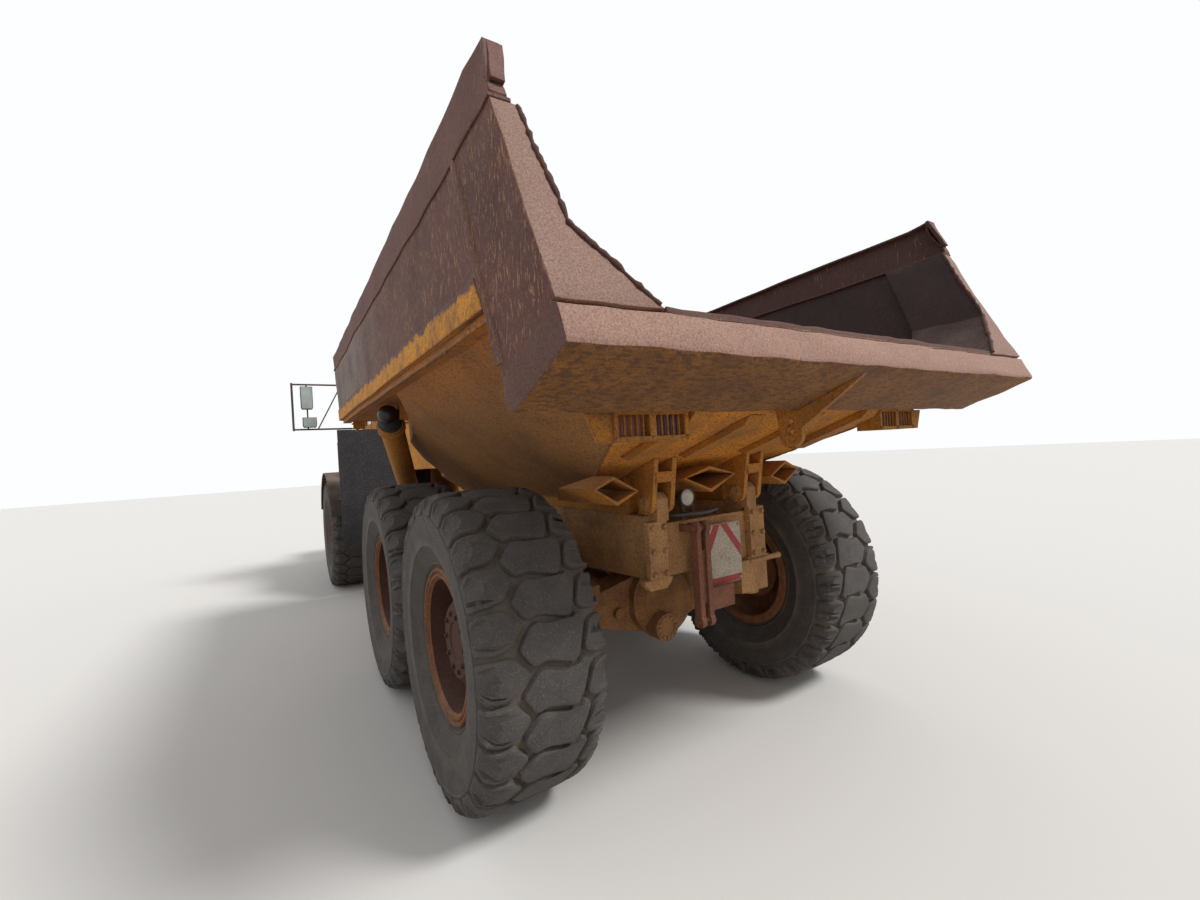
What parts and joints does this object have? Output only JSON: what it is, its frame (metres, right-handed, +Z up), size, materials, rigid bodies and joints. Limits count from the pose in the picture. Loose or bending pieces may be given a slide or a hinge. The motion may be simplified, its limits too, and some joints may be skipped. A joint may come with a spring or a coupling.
{
  "type": "articulated dump truck",
  "caption": "Articulated dump truck: front unit with cab and hood, steering pivot, and a rear unit with a tipping V-shaped body over two driven axles",
  "frame": {"origin": "on the ground under the middle of the whole machine", "axes": "+X forward, +Y to the left, +Z up"},
  "size_m": [10.2395, 3.52, 3.4319],
  "materials": {
    "paint": "worn ochre paint, dusty",
    "rust": "rust-brown steel with scratches",
    "lip": "pale worn rust",
    "dark": "black paint, dusty",
    "steel": "oiled rod",
    "tyre": "dusty tread",
    "rim": "rusty orange",
    "flap": "dull",
    "glass": "clear, dusty",
    "lamp": "clear lamp glass",
    "board": "pale plate with a red border",
    "seat": "woven",
    "cabin": "grained"
  },
  "bodies": {
    "tractor": {"front_frame": "paint", "engine_block": "dark", "front_axle": "paint", "bumper": "dark", "headlamps": "lamp", "front_fenders": "paint", "mudflaps": "flap", "cab_shell": "paint", "cab_glass": "glass", "seat": "seat", "dashboard": "cabin", "steps": "dark", "mirrors": "dark", "exhaust": "rust", "side_tanks": "paint"},
    "hood": {"hood": "paint", "grille": "dark"},
    "door": {"cab_door": "paint", "door_glass": "glass"},
    "hitch": {"hitch_link": "dark"},
    "rear_unit": {"rear_frame": "paint", "tail_plate": "paint", "work_lamp": "lamp", "hazard_board": "board", "tow_bar": "rust", "bogie_axles": "paint", "bogie_beams": "paint"},
    "dump_body": {"body_floor": "paint", "body_sides": "rust", "side_bands": "paint", "body_front": "rust", "side_boards": "rust", "tail_lip": "lip", "body_ribs": "paint", "tail_lamps": "paint", "tail_lenses": "lamp"},
    "wheel_front_left": {"tyre_front_left": "tyre", "rim_front_left": "rim"},
    "wheel_front_right": {"tyre_front_right": "tyre", "rim_front_right": "rim"},
    "wheel_mid_left": {"tyre_mid_left": "tyre", "rim_mid_left": "rim"},
    "wheel_mid_right": {"tyre_mid_right": "tyre", "rim_mid_right": "rim"},
    "wheel_rear_left": {"tyre_rear_left": "tyre", "rim_rear_left": "rim"},
    "wheel_rear_right": {"tyre_rear_right": "tyre", "rim_rear_right": "rim"},
    "hoist_barrel_left": {"hoist_barrel_left": "paint"},
    "hoist_rod_left": {"hoist_rod_left": "steel"},
    "steer_barrel_left": {"steer_barrel_left": "dark"},
    "steer_rod_left": {"steer_rod_left": "steel"},
    "hoist_barrel_right": {"hoist_barrel_right": "paint"},
    "hoist_rod_right": {"hoist_rod_right": "steel"},
    "steer_barrel_right": {"steer_barrel_right": "dark"},
    "steer_rod_right": {"steer_rod_right": "steel"}
  },
  "joints": [
    {"name": "steering", "type": "hinge", "parent": "tractor", "child": "hitch", "pos_m": [0.959, 0, 0.98], "axis": [0, 0, 1], "range_deg": [-45, 45]},
    {"name": "turning_sleeve", "type": "hinge", "parent": "hitch", "child": "rear_unit", "pos_m": [0.559, 0, 0.98], "axis": [1, 0, 0], "range_deg": [-12, 12]},
    {"name": "body_tip", "type": "hinge", "parent": "rear_unit", "child": "dump_body", "pos_m": [-4.036, 0, 1.44], "axis": [0, -1, 0], "range_deg": [0, 70]},
    {"name": "hood_hinge", "type": "hinge", "parent": "tractor", "child": "hood", "pos_m": [4.964, 0, 1.1], "axis": [0, 1, 0], "range_deg": [0, 60]},
    {"name": "door_hinge", "type": "hinge", "parent": "tractor", "child": "door", "pos_m": [2.636, 0.8, 2.4], "axis": [0, 0, -1], "range_deg": [0, 80]},
    {"name": "wheel_spin_front_left", "type": "hinge", "parent": "tractor", "child": "wheel_front_left", "pos_m": [2.359, 1.105, 0.78], "axis": [0, 1, 0], "continuous": true},
    {"name": "wheel_spin_front_right", "type": "hinge", "parent": "tractor", "child": "wheel_front_right", "pos_m": [2.359, -1.105, 0.78], "axis": [0, 1, 0], "continuous": true},
    {"name": "wheel_spin_mid_left", "type": "hinge", "parent": "rear_unit", "child": "wheel_mid_left", "pos_m": [-1.816, 1.105, 0.78], "axis": [0, 1, 0], "continuous": true},
    {"name": "wheel_spin_mid_right", "type": "hinge", "parent": "rear_unit", "child": "wheel_mid_right", "pos_m": [-1.816, -1.105, 0.78], "axis": [0, 1, 0], "continuous": true},
    {"name": "wheel_spin_rear_left", "type": "hinge", "parent": "rear_unit", "child": "wheel_rear_left", "pos_m": [-3.486, 1.105, 0.78], "axis": [0, 1, 0], "continuous": true},
    {"name": "wheel_spin_rear_right", "type": "hinge", "parent": "rear_unit", "child": "wheel_rear_right", "pos_m": [-3.486, -1.105, 0.78], "axis": [0, 1, 0], "continuous": true},
    {"name": "hoist_swing_left", "type": "hinge", "parent": "rear_unit", "child": "hoist_barrel_left", "pos_m": [0.014, 0.6, 0.9], "axis": [0.5366, 0.4045, 0.7405], "range_deg": [0, 8.19]},
    {"name": "hoist_slide_left", "type": "slide", "parent": "hoist_barrel_left", "child": "hoist_rod_left", "axis": [-0.8437, 0.2722, 0.4627], "range_m": [0, 2.2288]},
    {"name": "hoist_swing_right", "type": "hinge", "parent": "rear_unit", "child": "hoist_barrel_right", "pos_m": [0.014, -0.6, 0.9], "axis": [-0.5366, 0.4045, -0.7405], "range_deg": [0, 8.19]},
    {"name": "hoist_slide_right", "type": "slide", "parent": "hoist_barrel_right", "child": "hoist_rod_right", "axis": [-0.8437, -0.2722, 0.4627], "range_m": [0, 2.2288]},
    {"name": "steer_swing_left", "type": "hinge", "parent": "tractor", "child": "steer_barrel_left", "pos_m": [1.719, 0.59, 1.03], "axis": [0, 0, 1], "range_deg": [0, 6.5]},
    {"name": "steer_slide_left", "type": "slide", "parent": "steer_barrel_left", "child": "steer_rod_left", "axis": [-0.9611, -0.2762, 0], "range_m": [-0.2535, 0.2535]},
    {"name": "steer_swing_right", "type": "hinge", "parent": "tractor", "child": "steer_barrel_right", "pos_m": [1.719, -0.59, 1.03], "axis": [0, 0, -1], "range_deg": [0, 6.5]},
    {"name": "steer_slide_right", "type": "slide", "parent": "steer_barrel_right", "child": "steer_rod_right", "axis": [-0.9611, 0.2762, 0], "range_m": [-0.2535, 0.2535]}
  ],
  "couplings": [
    {"joint": "hoist_swing_left", "follows": "body_tip", "ratio": 0.11622},
    {"joint": "hoist_slide_left", "follows": "body_tip", "m_per_rad": 1.8227},
    {"joint": "hoist_swing_right", "follows": "body_tip", "ratio": 0.11622},
    {"joint": "hoist_slide_right", "follows": "body_tip", "m_per_rad": 1.8227},
    {"joint": "steer_slide_left", "follows": "steering", "m_per_rad": 0.32055},
    {"joint": "steer_slide_right", "follows": "steering", "m_per_rad": -0.32055}
  ]
}
